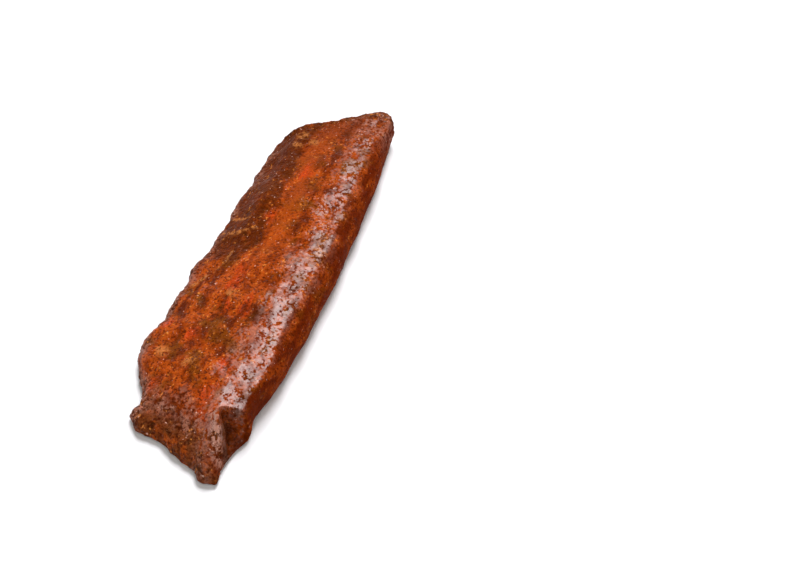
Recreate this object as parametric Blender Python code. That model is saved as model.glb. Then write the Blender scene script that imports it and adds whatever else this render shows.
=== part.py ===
"""One slab of cooked spare ribs, lying with its bone side down.

The slab is a single piece of meat. Seen from above it is a long, skewed rectangle
between four edge curves. Across its width it rises from a thin left edge to a rounded
crest near the right side, which is thick and tucked in below. The near end thins to a
flap with a pointed tip, and beside the flap the thick meat stops at a step. Low ribs
run across the underside, and the flat top of each of them rests on the table.

The mesh is made in metres with +Z up. The length runs along Y, and the origin is the
middle of the underside.
"""
import bmesh
import bpy
import numpy as np

# Lengths are in millimetres as far as the mesh, which is made in metres.
METRES = 0.001

# The four edges seen from above, each a smooth curve through a few places (x, y).
NEAR_LEFT = (-34, -121)
NEAR_RIGHT = (33, -149)
FAR_LEFT = (-38, 116)
FAR_RIGHT = (38, 158)
LEFT_EDGE = [NEAR_LEFT, (-31, -113), (-34, -101), (-47, -79), (-45, -45), (-43, 10), (-40, 60), FAR_LEFT]
RIGHT_EDGE = [NEAR_RIGHT, (32, -139), (35, -128), (39, -116), (40, -98), (43, -84), (46, -30), (47, 20),
              (45, 73), (41, 128), FAR_RIGHT]
NEAR_EDGE = [NEAR_LEFT, (-26, -128), (-11, -132), (6, -140), (18, -144), (24, -150), NEAR_RIGHT]
FAR_EDGE = [FAR_LEFT, (-30, 130), (-12, 142), (7, 150), (20, 157), (31, 162), FAR_RIGHT]
SCALLOP = 0.8                # waves of the thin left edge between the rib ends
SCALLOP_PITCH = 31
SCALLOP_CREST = -2           # where along the edge one wave stands out most
SCALLOP_NEAR_SPAN = (-124, -90)
SCALLOP_FAR_SPAN = (108, 85)

# Heights of the top above the table. A span gives where along the slab (y) a change
# starts and where it is complete.
CREST_HEIGHT = 31
FAR_CREST_DROP = 2           # how much lower the crest is at the far end
FAR_CREST_SPAN = (30, 150)
NEAR_CREST_DROP = 2
NEAR_CREST_SPAN = (-50, -112)
CREST_PLACE = 0.76           # across the width, from the left
CREST_ROUNDNESS = 0.16
BELLY = 0.3                  # how much the slope below the crest bulges
CREST_FALL = 3               # from the crest to where the right side rolls over
CREST_FALL_POWER = 1.2       # 1 for an even fall, more for one that steepens
LEFT_HEIGHT = 10
SHOULDER = 3                 # low ridge along the far half, in from the left edge
SHOULDER_PLACE = 26
SHOULDER_WIDTH = 9
SHOULDER_SPAN = (0, 50)
RIB_WAVE = 0.35              # the ribs felt through the top
NEAR_HEIGHT = 8
NEAR_TAPER_SPAN = (-5, 34)   # from the near edge: the length over which that end thins

# The step where the thick meat ends, right of the flap.
STEP_CORNER = np.array([22.0, -113.0])
STEP_FACE_END = np.array([42.0, -110.0])
FLAP_RIDGE_END = np.array([35.0, -145.0])
STEP_FLOOR = 5
STEP_WIDTH = 6
FLAP_LIP = 1.2               # raised rim along the flap's ridge
FLAP_LIP_WIDTH = 2.5
FLAP_LIP_PLACE = -1          # left of the ridge line

# The edge line, where the top meets the underside, and the rounding above and below it.
LEFT_SEAM = 4
RIGHT_SEAM = 13
RIGHT_SEAM_SPAN = (-115, -103)
NEAR_SEAM = 3
NEAR_SEAM_SHARE = 0.1        # of the slab's length, over which the near end's line rises
FAR_SEAM = 11
FAR_SEAM_SPAN = (120, 150)
SEAM_SIDE_SHARE = 0.5        # of the width, from where the line of the right side rises
TOP_ROUNDING = {"left": 6, "near": 7, "far": 5}
RIGHT_ROUNDING = 10
RIGHT_END_ROUNDING = 4       # of the right side at the far end and beside the step
RIGHT_END_SPANS = [(120, 150), (-50, -90)]
UNDER_ROUNDING = {"left": 5, "right": 9, "near": 5, "far": 8}

# The ribs of the underside.
RIB_COUNT = 9
RIB_GROOVE = 2.5
RIB_FLAT = 1 / 8             # half of each flat, as a share of the rib pitch

# Uneven lumps all over: their size across, their height either way and their random seed.
LUMPS = [(30, 1.5, 11), (14, 1.0, 12)]
LATTICE = (24, 48, 12)       # cells of random values along X, Y and Z

# How finely the surface is divided.
END_ZONE = 0.03
END_STEPS = 6
STEPS_PER_RIB = 8
HALVED_STEPS = 10            # the first ones past the near end zone, where the flap and step are
SIDE_ZONE = 0.12
SIDE_STEPS = 9
MIDDLE_STEPS = 27
UNDER_STRIDE = 3             # the underside has a point for every third one of the top

MEAT_COLOUR = (0.31, 0.052, 0.013, 1.0)
MEAT_ROUGHNESS = 0.38


def smooth_step(start, stop, value):
    """0 up to start, 1 from stop on, and an even S-curve between."""
    share = np.clip((value - start) / (stop - start), 0, 1)
    return share * share * (3 - 2 * share)


def quarter_round(distance, radius):
    """Height of a quarter circle, from 0 at the edge to 1 at one radius in."""
    left = 1 - np.clip(distance / radius, 0, 1)
    return np.sqrt(1 - left * left)


def smooth_curve(places, shares):
    """Points at these shares of a curve through the places, a cubic between each two.

    The curve's slope at a place is that of the line between its two neighbours.
    """
    places = np.array(places, dtype=float)
    length = np.append(0, np.cumsum(np.linalg.norm(np.diff(places, axis=0), axis=1)))
    slopes = np.gradient(places, length, axis=0)
    along = np.asarray(shares) * length[-1]
    span = np.clip(np.searchsorted(length, along, side="right") - 1, 0, len(places) - 2)
    size = (length[span + 1] - length[span])[:, None]
    u = (along - length[span])[:, None] / size
    return ((2 * u**3 - 3 * u**2 + 1) * places[span] + (u**3 - 2 * u**2 + u) * size * slopes[span]
            + (3 * u**2 - 2 * u**3) * places[span + 1] + (u**3 - u**2) * size * slopes[span + 1])


def eased_shares(zone, zone_steps, middle_steps, start=0.0):
    """Shares from 0 to 1, close together in a zone at each end and even between.

    In an end zone they grow with the square of their number, as the points of a
    round edge do. start moves the first one in from the end, by part of a step.
    """
    into = zone * ((np.arange(zone_steps) + start) / (zone_steps + start)) ** 2
    return np.concatenate([into, np.linspace(zone, 1 - zone, middle_steps + 1), 1 - into[::-1]])


def lumpy(points, size, seed):
    """Uneven values from -1 to 1 that change smoothly over about one size.

    Random values on a cubic lattice, with an S-curve between neighbours on each axis.
    """
    lattice = np.random.default_rng(seed).uniform(-1, 1, LATTICE)
    place = points / size + np.array(lattice.shape) / 2
    cell = np.floor(place).astype(int)
    share = place - cell
    share = share * share * (3 - 2 * share)
    total = np.zeros(points.shape[:-1])
    for corner in np.ndindex(2, 2, 2):
        weight = np.prod(np.where(corner, share, 1 - share), axis=-1)
        x, y, z = np.moveaxis(cell + corner, -1, 0)
        total += weight * lattice[x, y, z]
    return total


def plan(s, t):
    """Places seen from above: s runs from the near end to the far one, t from left to right.

    It is a Coons patch: the blend of the left and right edges, plus the blend of the
    two ends, less the blend of the four corners, which both of them hold.
    """
    left, right = smooth_curve(LEFT_EDGE, s), smooth_curve(RIGHT_EDGE, s)
    near, far = smooth_curve(NEAR_EDGE, t), smooth_curve(FAR_EDGE, t)
    wave = SCALLOP * np.cos(2 * np.pi * (left[:, 1] - SCALLOP_CREST) / SCALLOP_PITCH)
    left[:, 0] -= (wave * smooth_step(*SCALLOP_NEAR_SPAN, left[:, 1])
                   * smooth_step(*SCALLOP_FAR_SPAN, left[:, 1]))
    s, t = s[:, None, None], t[None, :, None]
    sides = (1 - t) * left[:, None] + t * right[:, None]
    ends = (1 - s) * near[None] + s * far[None]
    corners = ((1 - s) * ((1 - t) * near[0] + t * near[-1]) + s * ((1 - t) * far[0] + t * far[-1]))
    return sides + ends - corners


def edge_distances(flat, s, t):
    """How far each place is from the slab's left, right, near and far edges."""
    width = np.linalg.norm(flat[:, -1] - flat[:, 0], axis=-1)[:, None]
    length = np.linalg.norm(flat[-1] - flat[0], axis=-1)[None, :]
    s, t = s[:, None], t[None, :]
    return {"left": t * width, "right": (1 - t) * width, "near": s * length, "far": (1 - s) * length}


def edge_shares(distances, rounding):
    """0 at the slab's edge and 1 where the rounding of all four edges is past."""
    share = 1.0
    for edge, radius in rounding.items():
        share = share * quarter_round(distances[edge], radius)
    return share


def top_rounding(flat):
    """Radius of each edge's rounding above. The right side's gets smaller towards both ends."""
    at_end = sum(smooth_step(*span, flat[..., 1]) for span in RIGHT_END_SPANS)
    return {**TOP_ROUNDING, "right": RIGHT_ROUNDING + (RIGHT_END_ROUNDING - RIGHT_ROUNDING) * at_end}


def rib_phase(s):
    """Counts the ribs from the near end: whole numbers lie between two ribs."""
    return (s - END_ZONE) / (1 - 2 * END_ZONE) * RIB_COUNT


def step_distances(flat):
    """How far a place is past the step's face, and how far right of the flap's ridge."""
    face = (STEP_FACE_END - STEP_CORNER) / np.linalg.norm(STEP_FACE_END - STEP_CORNER)
    ridge = (FLAP_RIDGE_END - STEP_CORNER) / np.linalg.norm(FLAP_RIDGE_END - STEP_CORNER)
    offset = flat - STEP_CORNER
    past_face = offset[..., 0] * face[1] - offset[..., 1] * face[0]
    past_ridge = offset[..., 1] * ridge[0] - offset[..., 0] * ridge[1]
    return past_face, past_ridge


def top_height(flat, s, t, distances):
    """Height of the top before its edges are rounded.

    It rises from the left edge to the crest and falls a little past it. The shoulder,
    the waves of the ribs, the thin near end, the flap's rim and the step come on top.
    """
    y = flat[..., 1]
    crest = (CREST_HEIGHT - FAR_CREST_DROP * smooth_step(*FAR_CREST_SPAN, y)
             - NEAR_CREST_DROP * smooth_step(*NEAR_CREST_SPAN, y))
    across = t[None, :] / CREST_PLACE
    rise = (across + 1 - np.sqrt((across - 1) ** 2 + CREST_ROUNDNESS**2)) / 2
    rise = rise * (1 + BELLY - BELLY * rise)
    past_crest = np.clip(t[None, :] - CREST_PLACE, 0, 1) / (1 - CREST_PLACE)
    height = LEFT_HEIGHT + (crest - LEFT_HEIGHT) * rise - CREST_FALL * past_crest**CREST_FALL_POWER
    shoulder = np.exp(-(((distances["left"] - SHOULDER_PLACE) / SHOULDER_WIDTH) ** 2))
    height = height + SHOULDER * shoulder * smooth_step(*SHOULDER_SPAN, y)
    height = height - RIB_WAVE * np.cos(2 * np.pi * rib_phase(s))[:, None]
    height = NEAR_HEIGHT + (height - NEAR_HEIGHT) * smooth_step(*NEAR_TAPER_SPAN, distances["near"])
    past_face, past_ridge = step_distances(flat)
    past_step = smooth_step(0, STEP_WIDTH, past_face) * smooth_step(0, STEP_WIDTH, past_ridge)
    lip = np.exp(-(((past_ridge - FLAP_LIP_PLACE) / FLAP_LIP_WIDTH) ** 2))
    lip = FLAP_LIP * lip * smooth_step(0, STEP_WIDTH, past_face)
    return height + lip + (STEP_FLOOR - height) * past_step


def seam_height(flat, s, t):
    """Height of the edge line, carried inward so that both faces can start from it."""
    y = flat[..., 1]
    right = NEAR_SEAM + (RIGHT_SEAM - NEAR_SEAM) * smooth_step(*RIGHT_SEAM_SPAN, y)
    right = right + (FAR_SEAM - RIGHT_SEAM) * smooth_step(*FAR_SEAM_SPAN, y)
    side = LEFT_SEAM + (right - LEFT_SEAM) * smooth_step(SEAM_SIDE_SHARE, 1, t)[None, :]
    return NEAR_SEAM + (side - NEAR_SEAM) * smooth_step(0, NEAR_SEAM_SHARE, s)[:, None]


def slab_rings(s, t):
    """The slab as rings of points, one at each s: over the top, then back underneath."""
    flat = plan(s, t)
    distances = edge_distances(flat, s, t)
    seam = seam_height(flat, s, t)
    top_share = edge_shares(distances, top_rounding(flat))
    under_share = edge_shares(distances, UNDER_ROUNDING)
    groove = smooth_step(RIB_FLAT, 0.5, np.abs((rib_phase(s) % 1) - 0.5))[:, None]
    top = seam + (top_height(flat, s, t, distances) - seam) * top_share
    under = seam * (1 - under_share) + RIB_GROOVE * groove * under_share
    top = np.dstack([flat, top])
    under = np.dstack([flat, under])[:, -1 - UNDER_STRIDE:0:-UNDER_STRIDE]
    rings = np.concatenate([top, under], axis=1)
    loose = np.ones(rings.shape[:2])
    loose[:, len(t):] = 1 - under_share[:, -1 - UNDER_STRIDE:0:-UNDER_STRIDE]
    return rings, loose


def outward(rings):
    """Unit vectors that point out of the surface at each point of the rings."""
    along = np.gradient(rings, axis=0)
    around = np.roll(rings, -1, axis=1) - np.roll(rings, 1, axis=1)
    normal = np.cross(around, along)
    return normal / np.linalg.norm(normal, axis=-1, keepdims=True)


def slab_points():
    """All the slab's points with its lumps, moved so that its middle is over the origin."""
    s = eased_shares(END_ZONE, END_STEPS, RIB_COUNT * STEPS_PER_RIB, start=0.5)
    coarse = s[END_STEPS:END_STEPS + HALVED_STEPS + 1]
    s = np.sort(np.append(s, (coarse[:-1] + coarse[1:]) / 2))
    t = eased_shares(SIDE_ZONE, SIDE_STEPS, MIDDLE_STEPS)
    rings, loose = slab_rings(s, t)
    relief = sum(height * lumpy(rings, size, seed) for size, height, seed in LUMPS)
    rings = rings + outward(rings) * (relief * loose)[..., None]
    rings[..., :2] -= (rings[..., :2].min(axis=(0, 1)) + rings[..., :2].max(axis=(0, 1))) / 2
    rings[..., 2] = np.maximum(rings[..., 2], 0)
    return rings, len(t)


def end_faces(ring, top_count):
    """The strip that closes one end, between the top's points and the underside's."""
    faces = []
    for first in range(0, top_count - 1, UNDER_STRIDE):
        last = first + UNDER_STRIDE
        below = [len(ring) - i // UNDER_STRIDE for i in (first, last) if 0 < i < top_count - 1]
        above = list(range(last, first - 1, -1))
        faces.append([ring[i] for i in below + above])
    return faces


def build_slab():
    """The slab as one closed object: bands between rings, and a strip at each end."""
    points, top_count = slab_points()
    mesh_builder = bmesh.new()
    rings = [[mesh_builder.verts.new(point) for point in ring] for ring in points * METRES]
    for near, far in zip(rings, rings[1:]):
        for i in range(len(near)):
            after = (i + 1) % len(near)
            mesh_builder.faces.new((near[i], near[after], far[after], far[i]))
    for face in end_faces(rings[0], top_count):
        mesh_builder.faces.new(face)
    for face in end_faces(rings[-1], top_count):
        mesh_builder.faces.new(face[::-1])
    mesh = bpy.data.meshes.new("rib_slab")
    mesh_builder.to_mesh(mesh)
    mesh_builder.free()
    mesh.shade_smooth()
    slab = bpy.data.objects.new("rib_slab", mesh)
    bpy.context.scene.collection.objects.link(slab)
    return slab


def glazed_meat():
    """Browned, sticky meat: deep red-brown with a soft gloss."""
    material = bpy.data.materials.new("glazed_meat")
    material.use_nodes = True
    shader = material.node_tree.nodes["Principled BSDF"]
    shader.inputs["Base Color"].default_value = MEAT_COLOUR
    shader.inputs["Roughness"].default_value = MEAT_ROUGHNESS
    shader.inputs["Metallic"].default_value = 0.0
    return material


for leftover in list(bpy.data.objects):
    bpy.data.objects.remove(leftover, do_unlink=True)
build_slab().data.materials.append(glazed_meat())
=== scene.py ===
"""One slab of cooked, glazed spare ribs on a pale table, seen from above its near end.

The slab is one surface worked out from four edge curves and the heights between them,
with the lumps, grain and crust of the meat laid over it, and one material that follows
the same places.
"""

import bpy
import numpy as np
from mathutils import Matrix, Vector


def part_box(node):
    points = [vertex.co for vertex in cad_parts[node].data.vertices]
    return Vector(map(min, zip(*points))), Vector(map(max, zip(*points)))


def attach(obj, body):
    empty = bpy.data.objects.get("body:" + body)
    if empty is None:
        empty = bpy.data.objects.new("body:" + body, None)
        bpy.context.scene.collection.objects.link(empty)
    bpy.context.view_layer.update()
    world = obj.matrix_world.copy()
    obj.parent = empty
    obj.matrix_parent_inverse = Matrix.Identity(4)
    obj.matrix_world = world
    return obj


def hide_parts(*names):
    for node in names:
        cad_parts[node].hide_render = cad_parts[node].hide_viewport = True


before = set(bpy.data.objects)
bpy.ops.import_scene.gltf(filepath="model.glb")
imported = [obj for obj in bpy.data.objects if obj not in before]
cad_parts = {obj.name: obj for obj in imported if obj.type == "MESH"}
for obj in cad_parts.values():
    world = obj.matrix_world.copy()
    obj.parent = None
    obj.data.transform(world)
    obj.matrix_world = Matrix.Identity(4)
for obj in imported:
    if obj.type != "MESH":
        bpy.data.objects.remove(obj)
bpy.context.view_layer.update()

# The slab of meat: one piece, cut from the side of a pig with its ribs inside, cooked
# slowly and brushed with sauce. It has a thin scalloped side, a thick rounded side, and
# at the near end a flap with a pointed tip beside the step where the thick meat stops.
# Lengths are in millimetres as far as the mesh. The ground plan and the heights follow
# the solid model's.
METRES = 0.001
NEAR_LEFT = (-34, -121)
NEAR_RIGHT = (33, -149)
FAR_LEFT = (-38, 116)
FAR_RIGHT = (38, 158)
LEFT_EDGE = [NEAR_LEFT, (-31, -113), (-34, -101), (-47, -79), (-45, -45), (-43, 10), (-40, 60), FAR_LEFT]
RIGHT_EDGE = [NEAR_RIGHT, (32, -139), (35, -128), (39, -116), (40, -98), (43, -84), (46, -30), (47, 20),
              (45, 73), (41, 128), FAR_RIGHT]
NEAR_EDGE = [NEAR_LEFT, (-26, -128), (-11, -132), (6, -140), (18, -144), (24, -150), NEAR_RIGHT]
FAR_EDGE = [FAR_LEFT, (-30, 130), (-12, 142), (7, 150), (20, 157), (31, 162), FAR_RIGHT]
SCALLOP = 0.8
SCALLOP_PITCH = 31
SCALLOP_CREST = -2
SCALLOP_NEAR_SPAN = (-124, -90)
SCALLOP_FAR_SPAN = (108, 85)

CREST_HEIGHT = 31
FAR_CREST_DROP = 2
FAR_CREST_SPAN = (30, 150)
NEAR_CREST_DROP = 2
NEAR_CREST_SPAN = (-50, -112)
CREST_PLACE = 0.76
CREST_ROUNDNESS = 0.16
BELLY = 0.3
CREST_FALL = 3
CREST_FALL_POWER = 1.2
LEFT_HEIGHT = 10
SHOULDER = 3
SHOULDER_PLACE = 26
SHOULDER_WIDTH = 9
SHOULDER_SPAN = (0, 50)
RIB_WAVE = 0.35
NEAR_HEIGHT = 8
NEAR_TAPER_SPAN = (-5, 34)

STEP_CORNER = np.array([22.0, -113.0])
STEP_FACE_END = np.array([42.0, -110.0])
FLAP_RIDGE_END = np.array([35.0, -145.0])
STEP_FLOOR = 5
STEP_WIDTH = 4
FLAP_LIP = 1.2
FLAP_LIP_WIDTH = 2.5
FLAP_LIP_PLACE = -1

LEFT_SEAM = 4
RIGHT_SEAM = 13
RIGHT_SEAM_SPAN = (-115, -103)
NEAR_SEAM = 3
NEAR_SEAM_SHARE = 0.1
FAR_SEAM = 11
FAR_SEAM_SPAN = (120, 150)
SEAM_SIDE_SHARE = 0.5
TOP_ROUNDING = {"left": 6, "near": 7, "far": 5}
RIGHT_ROUNDING = 10
RIGHT_END_ROUNDING = 4
RIGHT_END_SPANS = [(120, 150), (-50, -90)]
UNDER_ROUNDING = {"left": 5, "right": 9, "near": 5, "far": 8}

RIB_COUNT = 9
RIB_GROOVE = 2.5
RIB_FLAT = 1 / 8

END_ZONE = 0.03
END_STEPS = 16
STEPS_PER_RIB = 40
SIDE_ZONE = 0.12
SIDE_STEPS = 30
MIDDLE_STEPS = 108
UNDER_STRIDE = 3

# Lumps as the solid has them, then finer grain: size across, height either way, seed.
LUMPS = [(30, 1.5, 11), (14, 1.0, 12)]
GRAIN = [(6.5, 0.5, 21), (3.2, 0.36, 22), (1.6, 0.26, 23)]
LUMP_LATTICE = (24, 48, 12)
GRAIN_LATTICE = (64, 96, 32)


def smooth_step(start, stop, value):
    """0 up to start, 1 from stop on, and an even S-curve between."""
    share = np.clip((value - start) / (stop - start), 0, 1)
    return share * share * (3 - 2 * share)


def bell(distance, width):
    """1 at distance 0, falling evenly on both sides: e to the minus square of distance / width."""
    return np.exp(-((distance / width) ** 2))


def quarter_round(distance, radius):
    """Height of a quarter circle, from 0 at the edge to 1 at one radius in."""
    left = 1 - np.clip(distance / radius, 0, 1)
    return np.sqrt(1 - left * left)


def smooth_curve(places, shares):
    """Points at these shares of a curve through the places, a cubic between each two.

    The curve's slope at a place is that of the line between its two neighbours.
    """
    places = np.array(places, dtype=float)
    length = np.append(0, np.cumsum(np.linalg.norm(np.diff(places, axis=0), axis=1)))
    slopes = np.gradient(places, length, axis=0)
    along = np.asarray(shares) * length[-1]
    span = np.clip(np.searchsorted(length, along, side="right") - 1, 0, len(places) - 2)
    size = (length[span + 1] - length[span])[:, None]
    u = (along - length[span])[:, None] / size
    return ((2 * u**3 - 3 * u**2 + 1) * places[span] + (u**3 - 2 * u**2 + u) * size * slopes[span]
            + (3 * u**2 - 2 * u**3) * places[span + 1] + (u**3 - u**2) * size * slopes[span + 1])


def eased_shares(zone, zone_steps, middle_steps, start=0.0):
    """Shares from 0 to 1: even in the middle, and closer towards each end.

    In an end zone they grow with the square of their number, as the points of a
    round edge do. start moves the first one in from the end, by part of a step.
    """
    into = zone * ((np.arange(zone_steps) + start) / (zone_steps + start)) ** 2
    return np.concatenate([into, np.linspace(zone, 1 - zone, middle_steps + 1), 1 - into[::-1]])


def lumpy(points, size, seed, shape=GRAIN_LATTICE):
    """Uneven values from -1 to 1 that change smoothly over about one size.

    Random values on a cubic lattice, with an S-curve between neighbours on each axis.
    The size is one length, or one for each axis. The lattice repeats past its ends.
    """
    lattice = np.random.default_rng(seed).uniform(-1, 1, shape)
    place = points / size + np.array(shape) / 2
    cell = np.floor(place).astype(int)
    share = place - cell
    share = share * share * (3 - 2 * share)
    total = np.zeros(points.shape[:-1])
    for corner in np.ndindex(2, 2, 2):
        weight = np.prod(np.where(corner, share, 1 - share), axis=-1)
        x, y, z = np.moveaxis((cell + corner) % shape, -1, 0)
        total += weight * lattice[x, y, z]
    return total


def plan(s, t):
    """Places seen from above: s runs from the near end to the far one, t from left to right.

    It is a Coons patch: the blend of the left and right edges, plus the blend of the
    two ends, less the blend of the four corners, which both of them hold.
    """
    left, right = smooth_curve(LEFT_EDGE, s), smooth_curve(RIGHT_EDGE, s)
    near, far = smooth_curve(NEAR_EDGE, t), smooth_curve(FAR_EDGE, t)
    wave = SCALLOP * np.cos(2 * np.pi * (left[:, 1] - SCALLOP_CREST) / SCALLOP_PITCH)
    left[:, 0] -= (wave * smooth_step(*SCALLOP_NEAR_SPAN, left[:, 1])
                   * smooth_step(*SCALLOP_FAR_SPAN, left[:, 1]))
    s, t = s[:, None, None], t[None, :, None]
    sides = (1 - t) * left[:, None] + t * right[:, None]
    ends = (1 - s) * near[None] + s * far[None]
    corners = ((1 - s) * ((1 - t) * near[0] + t * near[-1]) + s * ((1 - t) * far[0] + t * far[-1]))
    return sides + ends - corners


def edge_distances(flat, s, t):
    """How far each place is from the slab's left, right, near and far edges."""
    width = np.linalg.norm(flat[:, -1] - flat[:, 0], axis=-1)[:, None]
    length = np.linalg.norm(flat[-1] - flat[0], axis=-1)[None, :]
    s, t = s[:, None], t[None, :]
    return {"left": t * width, "right": (1 - t) * width, "near": s * length, "far": (1 - s) * length}


def edge_shares(distances, rounding):
    """0 at the slab's edge and 1 where the rounding of all four edges is past."""
    share = 1.0
    for edge, radius in rounding.items():
        share = share * quarter_round(distances[edge], radius)
    return share


def top_rounding(flat):
    """Radius of each edge's rounding above. The right side's gets smaller towards both ends."""
    at_end = sum(smooth_step(*span, flat[..., 1]) for span in RIGHT_END_SPANS)
    return {**TOP_ROUNDING, "right": RIGHT_ROUNDING + (RIGHT_END_ROUNDING - RIGHT_ROUNDING) * at_end}


def rib_phase(s):
    """Counts the ribs from the near end: whole numbers lie between two ribs."""
    return (s - END_ZONE) / (1 - 2 * END_ZONE) * RIB_COUNT


def step_distances(flat):
    """How far a place is past the step's face, and how far right of the flap's ridge."""
    face = (STEP_FACE_END - STEP_CORNER) / np.linalg.norm(STEP_FACE_END - STEP_CORNER)
    ridge = (FLAP_RIDGE_END - STEP_CORNER) / np.linalg.norm(FLAP_RIDGE_END - STEP_CORNER)
    offset = flat - STEP_CORNER
    past_face = offset[..., 0] * face[1] - offset[..., 1] * face[0]
    past_ridge = offset[..., 1] * ridge[0] - offset[..., 0] * ridge[1]
    return past_face, past_ridge


def top_height(flat, s, t, distances):
    """Height of the top before its edges are rounded.

    It rises from the left edge to the crest and falls a little past it. The shoulder,
    the waves of the ribs, the thin near end, the flap's rim and the step come on top.
    """
    y = flat[..., 1]
    crest = (CREST_HEIGHT - FAR_CREST_DROP * smooth_step(*FAR_CREST_SPAN, y)
             - NEAR_CREST_DROP * smooth_step(*NEAR_CREST_SPAN, y))
    across = t[None, :] / CREST_PLACE
    rise = (across + 1 - np.sqrt((across - 1) ** 2 + CREST_ROUNDNESS**2)) / 2
    rise = rise * (1 + BELLY - BELLY * rise)
    past_crest = np.clip(t[None, :] - CREST_PLACE, 0, 1) / (1 - CREST_PLACE)
    height = LEFT_HEIGHT + (crest - LEFT_HEIGHT) * rise - CREST_FALL * past_crest**CREST_FALL_POWER
    shoulder = bell(distances["left"] - SHOULDER_PLACE, SHOULDER_WIDTH)
    height = height + SHOULDER * shoulder * smooth_step(*SHOULDER_SPAN, y)
    height = height - RIB_WAVE * np.cos(2 * np.pi * rib_phase(s))[:, None]
    height = NEAR_HEIGHT + (height - NEAR_HEIGHT) * smooth_step(*NEAR_TAPER_SPAN, distances["near"])
    past_face, past_ridge = step_distances(flat)
    past_step = smooth_step(0, STEP_WIDTH, past_face) * smooth_step(0, STEP_WIDTH, past_ridge)
    lip = bell(past_ridge - FLAP_LIP_PLACE, FLAP_LIP_WIDTH)
    lip = FLAP_LIP * lip * smooth_step(0, STEP_WIDTH, past_face)
    return height + lip + (STEP_FLOOR - height) * past_step


def seam_height(flat, s, t):
    """Height of the edge line, carried inward so that both faces can start from it."""
    y = flat[..., 1]
    right = NEAR_SEAM + (RIGHT_SEAM - NEAR_SEAM) * smooth_step(*RIGHT_SEAM_SPAN, y)
    right = right + (FAR_SEAM - RIGHT_SEAM) * smooth_step(*FAR_SEAM_SPAN, y)
    side = LEFT_SEAM + (right - LEFT_SEAM) * smooth_step(SEAM_SIDE_SHARE, 1, t)[None, :]
    return NEAR_SEAM + (side - NEAR_SEAM) * smooth_step(0, NEAR_SEAM_SHARE, s)[:, None]


def over_and_under(top, under):
    """Joins values of the top and of the underside into rings: over the top, then back."""
    return np.concatenate([top, under[:, -1 - UNDER_STRIDE:0:-UNDER_STRIDE]], axis=1)


def on_top(values):
    """Values of the top in rings, with 0 on the underside."""
    return over_and_under(values, np.zeros(values.shape))


def outward(rings):
    """Unit vectors that point out of the surface at each point of the rings."""
    along = np.gradient(rings, axis=0)
    around = np.roll(rings, -1, axis=1) - np.roll(rings, 1, axis=1)
    normal = np.cross(around, along)
    return normal / np.linalg.norm(normal, axis=-1, keepdims=True)


s = eased_shares(END_ZONE, END_STEPS, RIB_COUNT * STEPS_PER_RIB, start=0.5)
t = eased_shares(SIDE_ZONE, SIDE_STEPS, MIDDLE_STEPS)
flat = plan(s, t)
distances = edge_distances(flat, s, t)
seam = seam_height(flat, s, t)
top_share = edge_shares(distances, top_rounding(flat))
under_share = edge_shares(distances, UNDER_ROUNDING)
groove = smooth_step(RIB_FLAT, 0.5, np.abs((rib_phase(s) % 1) - 0.5))[:, None]
top = seam + (top_height(flat, s, t, distances) - seam) * top_share
under = seam * (1 - under_share) + RIB_GROOVE * groove * under_share
rings = over_and_under(np.dstack([flat, top]), np.dstack([flat, under]))
loose = over_and_under(np.ones(top.shape), 1 - under_share)
lumps = sum(height * lumpy(rings, size, seed, LUMP_LATTICE) for size, height, seed in LUMPS)
rings = rings + outward(rings) * (lumps * loose)[..., None]

# Where the meat is crusted, fatty or thickly glazed, and where shade and highlights
# are painted into its colour, worked out at every point. A fade is the pair of values
# between which a mark goes from none to full, and a drift is how far its border wanders.
DRIFTS = [(9, 1.0, 31), (4, 0.6, 32)]
SWAY_SIZE = 22
SWAY_SEED = 33
NEAR_CRUST_FADE = (38, 4)
NEAR_CRUST_DRIFT = 12
LEFT_CRUST_FADE = (13, 1)
FAR_CRUST_FADE = (12, 2)
CRUST_DRIFT = 5
FAR_DULL_FADE = (60, 0)
NEAR_DULL_FADE = (22, 4)
NEAR_DULL = 0.8

CREASE = [(-24, -12), (-12, 7), (-8, 25), (-9, 51), (-11, 78), (-12, 105), (-8, 129)]
BAND_FADE = (3, -3)
BAND_DRIFT = 4
BAND_START_FADE = (-14, 14)
BAND_START_DRIFT = 6
BRUSHED_PLACE = 11
BRUSHED_WIDTH = 7
BRUSHED_START_FADE = (-20, 20)

FAT_STREAKS = [[(-36, 28), (-25, 26), (-19, 29), (-14, 32)], [(-35, 41), (-26, 39), (-22, 40)],
               [(-22, 11), (-23, 6), (-23, 0)], [(-25, -6), (-30, -12), (-34, -18), (-36, -21)]]
FAT_STREAK_WIDTH = 1.2
FAT_SPOTS = [(34, 19), (-31, -78), (-11, -85), (-17, 114), (-7, 118), (-7, -28), (-16, 123)]
FAT_SPOT_RADIUS = 4
FAT_FADE = (1.4, 0.4)
FAT_DRIFT = 0.5
RED_SPOTS = [(0, 88), (-9, 44), (-7, -6), (-8, -18), (-7, -39), (-39, -54), (-18, -62),
             (12, -84), (11, -106), (-28, -108), (6, -37), (-34, -118), (14, -118)]
RED_SPOT_STRETCH = 1.6
RED_FADE = (7, 1)
RED_DRIFT = 2.5

# The painted shade in the step's recess: its fade, its width beside the ridge, and its share on the
# step's floor.
STEP_SHADE_FADE = (-1, 3)
STEP_SHADE_WIDTH = 6
STEP_FLOOR_SHADE = 0.4
WALL_FADE = (1.1, 0.3)
WALL_DRIFT = 0.2
WALL_SWAY = 0.25
FACET_FADE = (0.66, 0.76)
FACET_DRIFT = 0.06
FACET_WIDER = 0.035
FACET_WIDER_SPAN = (10, -60)
FACET_NARROWER = 0.02
FACET_NARROWER_SPAN = (20, 70)
RIM_PLACE = -2.5
RIM_WIDTH = 3
RIM_END_FADE = (3, 16)

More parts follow.
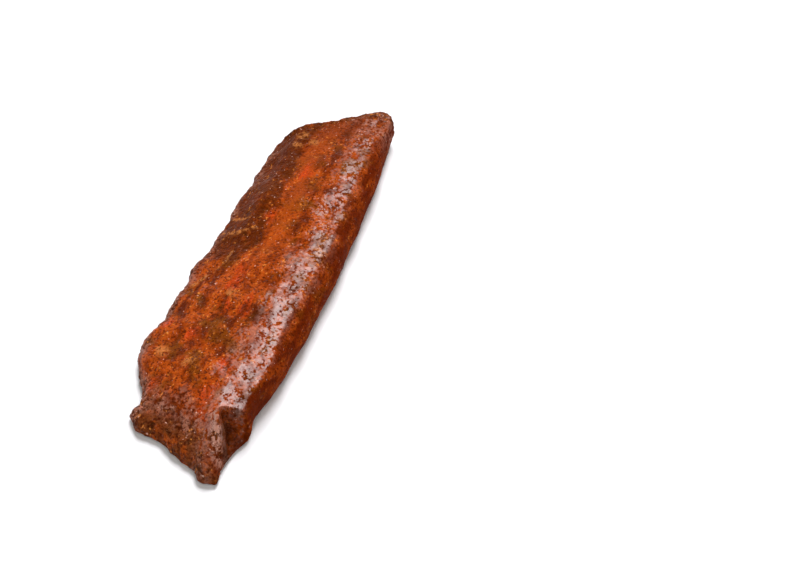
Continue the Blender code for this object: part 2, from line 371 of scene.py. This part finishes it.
GLOSS_OFF_FACET = 0.18
GLOSS_FAR_SPAN = (-20, 50)
# Where the pale pink highlight is painted: the far tip, the flap and the flat strip.
FAR_TIP = (30, 142)
FAR_TIP_RADIUS = 13
FLAP_HIGHLIGHT_FADE = (6, 20)
FLAP_HIGHLIGHT_SPAN = (-32, -8)
STRIP_HIGHLIGHT = 0.62
STRIP_HIGHLIGHT_FAR_SPAN = (10, 60)

# The crags of the crust: size across, depth and seed.
CRAGS = [(4.5, 1.0, 41), (2.2, 0.5, 42)]


def line_distances(places, x, y):
    """How far each place is from a line through these places, in the ground plan."""
    nearest = np.full(x.shape, np.inf)
    for (x0, y0), (x1, y1) in zip(places, places[1:]):
        length = np.hypot(x1 - x0, y1 - y0)
        along = ((x - x0) * (x1 - x0) + (y - y0) * (y1 - y0)) / length**2
        along = np.clip(along, 0, 1)
        nearest = np.minimum(nearest, np.hypot(x - x0 - along * (x1 - x0), y - y0 - along * (y1 - y0)))
    return nearest


x, y = rings[..., 0], rings[..., 1]
upper = on_top(np.ones(top.shape))
from_edge = {edge: over_and_under(values, values) for edge, values in distances.items()}
drift = sum(amount * lumpy(rings, size, seed) for size, amount, seed in DRIFTS)
sway = lumpy(rings, SWAY_SIZE, SWAY_SEED)

# The crust at the ends and the thin side, and the dull glaze near both ends.
near_crust = smooth_step(*NEAR_CRUST_FADE, from_edge["near"] + NEAR_CRUST_DRIFT * drift)
left_crust = smooth_step(*LEFT_CRUST_FADE, from_edge["left"] + CRUST_DRIFT * drift)
far_crust = smooth_step(*FAR_CRUST_FADE, from_edge["far"] + CRUST_DRIFT * drift)
crust = np.maximum.reduce([near_crust, left_crust, far_crust])
dull = smooth_step(*FAR_DULL_FADE, from_edge["far"])
dull = np.maximum(dull, NEAR_DULL * smooth_step(*NEAR_DULL_FADE, from_edge["near"]))

# The darker band left of the crease, partly painted shade where the top slopes down to the thin side,
# and the evenly brushed glaze right of it.
past_crease = x - np.interp(y, *np.transpose(CREASE)[::-1])
band = (smooth_step(*BAND_FADE, past_crease + BAND_DRIFT * drift)
        * smooth_step(*BAND_START_FADE, y + BAND_START_DRIFT * drift))
brushed = bell(past_crease - BRUSHED_PLACE, BRUSHED_WIDTH) * smooth_step(*BRUSHED_START_FADE, y) * upper

# The painted shade of the step's recess, darkest beside the flap's ridge, the thick side's wall, the
# flat strip along its crest, and the flap's rim.
past_face, past_ridge = step_distances(flat)
step_shade = smooth_step(*STEP_SHADE_FADE, past_face) * smooth_step(*STEP_SHADE_FADE, past_ridge)
step_shade = on_top(step_shade * (STEP_FLOOR_SHADE + (1 - STEP_FLOOR_SHADE) * bell(past_ridge, STEP_SHADE_WIDTH)))
roll = on_top(distances["right"] / top_rounding(flat)["right"])
wall = smooth_step(*WALL_FADE, roll + WALL_DRIFT * drift + WALL_SWAY * sway)
widening = (FACET_WIDER * smooth_step(*FACET_WIDER_SPAN, y)
            - FACET_NARROWER * smooth_step(*FACET_NARROWER_SPAN, y))
facet = on_top(np.broadcast_to(t, top.shape)) + FACET_DRIFT * drift + widening
facet = smooth_step(*FACET_FADE, facet) * (1 - step_shade)
rim = bell(past_ridge - RIM_PLACE, RIM_WIDTH) * smooth_step(0, STEP_WIDTH, past_face)
rim = on_top(rim * smooth_step(*RIM_END_FADE, distances["near"]))

# How glossy the glaze is, and where a pale pink highlight is painted: along the flat strip,
# on the flap, at the far tip, in specks along the thin side and on the flap's rim.
gloss = (1 - 0.95 * wall) * (GLOSS_OFF_FACET + (1 - GLOSS_OFF_FACET) * facet) * (1 - 0.3 * crust)
gloss = gloss * (1 - 0.9 * band) * (1 - 0.7 * brushed)
gloss = gloss * (1 - 0.75 * dull) * (1 - 0.2 * smooth_step(*GLOSS_FAR_SPAN, y))
gloss = np.maximum(gloss, rim)
strip_highlight = STRIP_HIGHLIGHT * facet * (1 - wall) * (1 - dull) * (1 - 0.5 * smooth_step(*STRIP_HIGHLIGHT_FAR_SPAN, y))
flap_highlight = near_crust * smooth_step(*FLAP_HIGHLIGHT_FADE, from_edge["near"])
flap_highlight = flap_highlight * (0.3 + 0.7 * smooth_step(*FLAP_HIGHLIGHT_SPAN, x))
tip_highlight = 0.9 * bell(np.hypot(x - FAR_TIP[0], y - FAR_TIP[1]), FAR_TIP_RADIUS)
painted_highlight = np.maximum.reduce([strip_highlight, flap_highlight, tip_highlight, 0.6 * left_crust * upper, 1.9 * rim])

# The fat, and the places where the glaze is redder.
fat = np.minimum.reduce([line_distances(places, x, y) for places in FAT_STREAKS]) / FAT_STREAK_WIDTH
fat = np.minimum.reduce([fat] + [np.hypot(x - x0, y - y0) / FAT_SPOT_RADIUS for x0, y0 in FAT_SPOTS])
fat = smooth_step(*FAT_FADE, fat + FAT_DRIFT * drift) * upper
red = np.minimum.reduce([np.hypot(x - x0, (y - y0) / RED_SPOT_STRETCH) for x0, y0 in RED_SPOTS])
red = smooth_step(*RED_FADE, red + RED_DRIFT * drift) * upper

# The low relief: grain all over, and the sharp crags of the crust.
grain = sum(height * lumpy(rings, size, seed) for size, height, seed in GRAIN)
crags = 1 - sum(depth * np.abs(lumpy(rings, size, seed)) for size, depth, seed in CRAGS)
relief = grain * (0.8 + 0.5 * crust) * (1 - 0.6 * brushed) * (1 - 0.35 * facet)
relief = relief + (0.9 * crust + 0.3 * left_crust) * crags
rings = rings + outward(rings) * (relief * loose)[..., None]
rings[..., 2] = np.maximum(rings[..., 2], 0)

low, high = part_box("rib_slab")
middle = (rings[..., :2].min(axis=(0, 1)) + rings[..., :2].max(axis=(0, 1))) / 2
rings[..., :2] += (np.array(low) + np.array(high))[:2] / 2 / METRES - middle


def skin_faces(ring_count, ring_size):
    """Four corners of each face between two rings, as numbers of points."""
    ring = np.arange(ring_count - 1)[:, None] * ring_size
    place = np.arange(ring_size)[None, :]
    after = (place + 1) % ring_size
    corners = [ring + place, ring + after, ring + ring_size + after, ring + ring_size + place]
    return np.stack(corners, axis=-1).reshape(-1, 4)


def end_faces(first_point, ring_size, top_count):
    """The strip that closes one end, between the top's points and the underside's."""
    faces = []
    for first in range(0, top_count - 1, UNDER_STRIDE):
        last = first + UNDER_STRIDE
        below = [ring_size - i // UNDER_STRIDE for i in (first, last) if 0 < i < top_count - 1]
        faces.append([first_point + i for i in below + list(range(last, first - 1, -1))])
    return faces


ring_count, ring_size = rings.shape[:2]
faces = skin_faces(ring_count, ring_size).tolist()
faces += end_faces(0, ring_size, len(t))
faces += [face[::-1] for face in end_faces((ring_count - 1) * ring_size, ring_size, len(t))]
mesh = bpy.data.meshes.new("glazed_rib_meat")
mesh.from_pydata((rings.reshape(-1, 3) * METRES).tolist(), [], faces)
mesh.shade_smooth()
marks = {"crust": crust, "relief": relief, "step_shade": step_shade, "band": band, "brushed": brushed,
         "wall": wall, "fat": fat, "red": red, "gloss": gloss, "dull": dull, "painted_highlight": painted_highlight}
for name, values in marks.items():
    attribute = mesh.attributes.new(name, "FLOAT", "POINT")
    attribute.data.foreach_set("value", values.ravel().astype(np.float32))
slab = bpy.data.objects.new("glazed_rib_meat", mesh)
bpy.context.scene.collection.objects.link(slab)


class Field:
    """A value that varies over the surface, so that node maths reads as plain sums."""

    def __init__(self, tree, output=None):
        self.tree = tree
        self.output = output

    def node(self, kind, settings, values, output=0):
        """Adds a node: first its settings, then its sockets, each a value or a field."""
        made = self.tree.nodes.new(kind)
        for name, value in settings.items():
            setattr(made, name, value)
        for name, value in values.items():
            if isinstance(value, Field):
                self.tree.links.new(value.output, made.inputs[name])
            else:
                made.inputs[name].default_value = value
        return Field(self.tree, made.outputs[output])

    def maths(self, operation, first, second):
        """A Math node on two values."""
        return self.node("ShaderNodeMath", {"operation": operation}, {0: first, 1: second})

    def __add__(self, other):
        return self.maths("ADD", self, other)

    def __sub__(self, other):
        return self.maths("SUBTRACT", self, other)

    def __rsub__(self, other):
        return self.maths("SUBTRACT", other, self)

    def __mul__(self, other):
        return self.maths("MULTIPLY", self, other)

    __radd__ = __add__
    __rmul__ = __mul__

    def between(self, start, stop):
        """0 up to start, 1 from stop on, and an even S-curve between."""
        values = {"Value": self, "From Min": start, "From Max": stop}
        return self.node("ShaderNodeMapRange", {"interpolation_type": "SMOOTHSTEP"}, values)


def mixed(surface, share, first, second):
    """A colour between two, by a share that may vary over the surface."""
    settings = {"data_type": "RGBA"}
    return surface.node("ShaderNodeMix", settings, {0: share, 6: first, 7: second}, output=2)


def speckle(surface, place, size, detail, offset=0.0):
    """Noise from 0 to 1 with features of about one size, in millimetres.

    A greater detail adds finer noise, and each offset gives another pattern.
    """
    values = {"Vector": place, "W": offset, "Scale": 1 / (size * METRES), "Detail": detail}
    return surface.node("ShaderNodeTexNoise", {"noise_dimensions": "4D"}, values)


def linear(red, green, blue):
    """A colour given as 0 to 255 on screen, in the scene's linear values."""
    shown = np.array([red, green, blue]) / 255
    value = np.where(shown <= 0.04045, shown / 12.92, ((shown + 0.055) / 1.055) ** 2.4)
    return (*value.tolist(), 1.0)


DEEP_BROWN = linear(76, 22, 1)
MEAT_BROWN = linear(134, 48, 0)
ORANGE_GLAZE = linear(180, 76, 14)
ORANGE_RED = linear(204, 62, 16)
OLIVE_BROWN = linear(112, 58, 6)
# The band along the thin side: its own brown, partly painted shade.
BAND_BROWN_AND_SHADE = linear(88, 34, 0)
# The thick side's wall: its own brown, partly painted shade.
WALL_BROWN_AND_SHADE = linear(94, 26, 0)
# The crust's darkest brown, also used as painted shade in the hollows and in the step.
CRUST_DARK_AND_SHADE = linear(46, 18, 2)
CRUST_BROWN = linear(112, 56, 24)
CRUST_ORANGE = linear(164, 72, 16)
# A pale pink painted highlight.
HIGHLIGHT_PINK = linear(180, 126, 106)
DULL_RED = linear(114, 44, 12)
FAT_TAN = linear(192, 118, 60)
FLECK = linear(236, 142, 60)
# Pale painted glints.
PAINTED_GLINT = linear(226, 176, 156)
SPECULAR_TINT = (1.0, 0.55, 0.35, 1.0)
SPECULAR_LEVEL = 0.05
COAT_ROUGHNESS = 0.4
LIGHT_INTO_MEAT = 0.05
DEPTH_INTO_MEAT = (4 * METRES, 1.5 * METRES, 0.8 * METRES)
STREAK_SCALE = (1.0, 0.4, 1.0)
BUMP_HEIGHT = 2.4

material = bpy.data.materials.new("glazed_meat")
material.use_nodes = True
tree = material.node_tree
shader = tree.nodes["Principled BSDF"]
surface = Field(tree)
place = surface.node("ShaderNodeTexCoord", {}, {}, output="Object")
mark = {name: surface.node("ShaderNodeAttribute", {"attribute_name": name}, {}, output="Fac")
        for name in marks}

# Noises, from broad patches to fine specks. The streaks are longer along the slab.
along = surface.node("ShaderNodeVectorMath", {"operation": "MULTIPLY"}, {0: place, 1: STREAK_SCALE})
broad = speckle(surface, place, size=26, detail=3.0)
streaky = speckle(surface, along, size=6, detail=4.0, offset=3.0)
mottled = speckle(surface, place, size=3.5, detail=3.0, offset=7.0)
fine = speckle(surface, place, size=1.3, detail=3.0, offset=11.0)
glints = speckle(surface, place, size=1.8, detail=5.0, offset=15.0)
patchy = speckle(surface, place, size=14, detail=3.0, offset=19.0)
chunky = speckle(surface, place, size=5.5, detail=2.0, offset=23.0)
flecks = speckle(surface, place, size=2.2, detail=2.0, offset=27.0)
specks = speckle(surface, place, size=1.7, detail=1.0, offset=31.0)

# The meat under its glaze: brown with orange streaks, olive and deep brown patches, the
# even orange of the brushed strip and the redder places.
colour = mixed(surface, (streaky * 0.6 + mottled * 0.4).between(0.42, 0.6), MEAT_BROWN, ORANGE_GLAZE)
colour = mixed(surface, patchy.between(0.5, 0.64) * 0.8, colour, OLIVE_BROWN)
colour = mixed(surface, (broad * 0.5 + streaky * 0.5).between(0.5, 0.38) * 0.75, colour, DEEP_BROWN)
colour = mixed(surface, mark["brushed"] * 0.6, colour, ORANGE_GLAZE)
colour = mixed(surface, mark["red"] * streaky.between(0.35, 0.6) * 0.8, colour, ORANGE_RED)

# The dull ends, the darker band along the thin side, and the darker wall of the thick side.
# The band's and the wall's browns are partly the meat's own and partly painted shade.
colour = mixed(surface, mark["dull"] * 0.7, colour, DULL_RED)
colour = mixed(surface, mark["band"] * (0.72 + mottled.between(0.6, 0.4) * 0.25), colour, BAND_BROWN_AND_SHADE)
colour = mixed(surface, mark["wall"] * (0.6 + streaky.between(0.6, 0.4) * 0.35), colour, WALL_BROWN_AND_SHADE)

# The crust in dark, brown and orange lumps, then the fat, and a pale pink painted highlight that keeps
# off the hollows.
crust_colour = mixed(surface, (mottled * 0.6 + fine * 0.4).between(0.38, 0.56), CRUST_DARK_AND_SHADE, CRUST_BROWN)
crust_colour = mixed(surface, chunky.between(0.52, 0.68) * 0.7, crust_colour, CRUST_ORANGE)
crust_share = (mark["crust"] * 0.8 + (streaky - 0.5) * 1.2).between(0.25, 0.9)
colour = mixed(surface, crust_share, colour, crust_colour)
colour = mixed(surface, mark["fat"] * mottled.between(0.38, 0.55) * 0.75, colour, FAT_TAN)
highlight_share = (glints * 0.4 + mottled * 0.3 + chunky * 0.3).between(0.44, 0.52) * mark["painted_highlight"]
highlight_share = highlight_share * (0.3 + mark["relief"].between(-0.3, 0.5) * 0.6)
colour = mixed(surface, highlight_share, colour, HIGHLIGHT_PINK)

# Orange flecks and pale painted glints, dark grain, and painted shade in the hollows and in the step's
# recess.
fleck_share = flecks.between(0.6, 0.68) * streaky.between(0.45, 0.6) * (0.65 - mark["wall"] * 0.4)
colour = mixed(surface, fleck_share, colour, FLECK)
colour = mixed(surface, specks.between(0.7, 0.75) * (0.8 - mark["wall"] * 0.5), colour, PAINTED_GLINT)
dark_share = 0.9 - mark["brushed"] * 0.4 - mark["gloss"] * 0.4
colour = mixed(surface, fine.between(0.5, 0.38) * dark_share, colour, DEEP_BROWN)
colour = mixed(surface, mark["relief"].between(0.0, -0.9) * 0.7, colour, CRUST_DARK_AND_SHADE)
colour = mixed(surface, mark["step_shade"] * 0.8, colour, CRUST_DARK_AND_SHADE)

# The glaze stands in small glossy spots, thickest along the flat strip.
roughness = 0.38 + mottled * 0.2 + mark["wall"] * 0.5
spots = glints * 0.6 + mottled * 0.15 + chunky * 0.25 + mark["gloss"] * 0.1
coat = spots.between(0.55, 0.61) * (0.35 + mark["gloss"] * 0.65) * (1 - mark["wall"] * 0.8)
bump_values = {"Strength": 1.0, "Distance": BUMP_HEIGHT * METRES, "Height": mottled * 0.4 + fine * 0.6}
bump = surface.node("ShaderNodeBump", {}, bump_values)

tree.links.new(colour.output, shader.inputs["Base Color"])
tree.links.new(roughness.output, shader.inputs["Roughness"])
tree.links.new(coat.output, shader.inputs["Coat Weight"])
tree.links.new(bump.output, shader.inputs["Normal"])
shader.inputs["Coat Roughness"].default_value = COAT_ROUGHNESS
shader.inputs["Specular IOR Level"].default_value = SPECULAR_LEVEL
shader.inputs["Specular Tint"].default_value = SPECULAR_TINT
shader.inputs["Subsurface Weight"].default_value = LIGHT_INTO_MEAT
shader.inputs["Subsurface Radius"].default_value = DEPTH_INTO_MEAT
slab.data.materials.append(material)
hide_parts("rib_slab")
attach(slab, "root")

# The table: a round sheet of pale card, flat under the slab, whose rim curves up into a
# low wall all around, as in a photo studio. Lengths from here on are in metres.
TABLE_RADIUS = 1.8
TABLE_CURVE = 0.5
TABLE_WALL = 0.65
TABLE_SIDES = 96
TABLE_COLOUR = (0.86, 0.86, 0.86, 1.0)
TABLE_ROUGHNESS = 0.8
bend = np.radians(np.arange(0, 91, 7.5))
radii = np.append(TABLE_RADIUS + TABLE_CURVE * np.sin(bend), TABLE_RADIUS + TABLE_CURVE)
heights = np.append(TABLE_CURVE * (1 - np.cos(bend)), TABLE_WALL)
around = np.linspace(0, 2 * np.pi, TABLE_SIDES, endpoint=False)[None, :]
card = [radii[:, None] * np.cos(around), radii[:, None] * np.sin(around), heights[:, None] + 0 * around]
table_faces = [list(range(TABLE_SIDES))] + skin_faces(len(radii), TABLE_SIDES)[:, ::-1].tolist()
table_mesh = bpy.data.meshes.new("table")
table_mesh.from_pydata(np.stack(card, axis=-1).reshape(-1, 3).tolist(), [], table_faces)
table_mesh.shade_smooth()
table = bpy.data.objects.new("table", table_mesh)
bpy.context.scene.collection.objects.link(table)
table_material = bpy.data.materials.new("pale_table")
table_material.use_nodes = True
table_shader = table_material.node_tree.nodes["Principled BSDF"]
table_shader.inputs["Base Color"].default_value = TABLE_COLOUR
table_shader.inputs["Roughness"].default_value = TABLE_ROUGHNESS
table_mesh.materials.append(table_material)

# The studio: a faint even surround, a soft box high behind the slab, whose light the flat
# strip along the crest throws back, and a larger, weaker and slightly warmer one high in
# front of it.
SURROUND = 0.06
WHITE = (1.0, 1.0, 1.0, 1.0)
BOX_DISTANCE = 4.2
BACK_BOX = {"direction": (-0.02, 0.52, 0.85), "size": 1.9, "power": 220, "colour": (0.96, 0.96, 1.0)}
TOP_BOX = {"direction": (0.3, -0.5, 0.86), "size": 3.0, "power": 74, "colour": (1.0, 0.98, 0.95)}


def soft_box(name, direction, size, power, colour):
    """A square area light in a direction from the slab's middle, facing it."""
    light = bpy.data.lights.new(name, "AREA")
    light.shape = "SQUARE"
    light.size = size
    light.energy = power
    light.color = colour
    lamp = bpy.data.objects.new(name, light)
    away = Vector(direction).normalized()
    lamp.location = away * BOX_DISTANCE
    lamp.rotation_euler = away.to_track_quat("Z", "Y").to_euler()
    bpy.context.scene.collection.objects.link(lamp)


world = bpy.data.worlds.new("surround")
world.use_nodes = True
background = world.node_tree.nodes["Background"]
background.inputs["Color"].default_value = WHITE
background.inputs["Strength"].default_value = SURROUND
bpy.context.scene.world = world
soft_box("back_box", **BACK_BOX)
soft_box("top_box", **TOP_BOX)

# The camera: above the near end and a little to the right, as in the photo, with the
# slab left of the middle of the picture.
CAMERA_TURN = np.radians(18.6)
CAMERA_RISE = np.radians(48)
CAMERA_DISTANCE = 1.0
CAMERA_AIM = Vector((0.0847, 0.0267, 0))
CAMERA_LENS = 70
CAMERA_FILM = 36
level = np.cos(CAMERA_RISE)
back = Vector((np.sin(CAMERA_TURN) * level, -np.cos(CAMERA_TURN) * level, np.sin(CAMERA_RISE)))
view = bpy.data.cameras.new("camera")
view.lens = CAMERA_LENS
view.sensor_width = CAMERA_FILM
camera = bpy.data.objects.new("camera", view)
camera.location = CAMERA_AIM + back * CAMERA_DISTANCE
camera.rotation_euler = back.to_track_quat("Z", "Y").to_euler()
bpy.context.scene.collection.objects.link(camera)
bpy.context.scene.camera = camera
bpy.context.scene.view_settings.view_transform = "Standard"
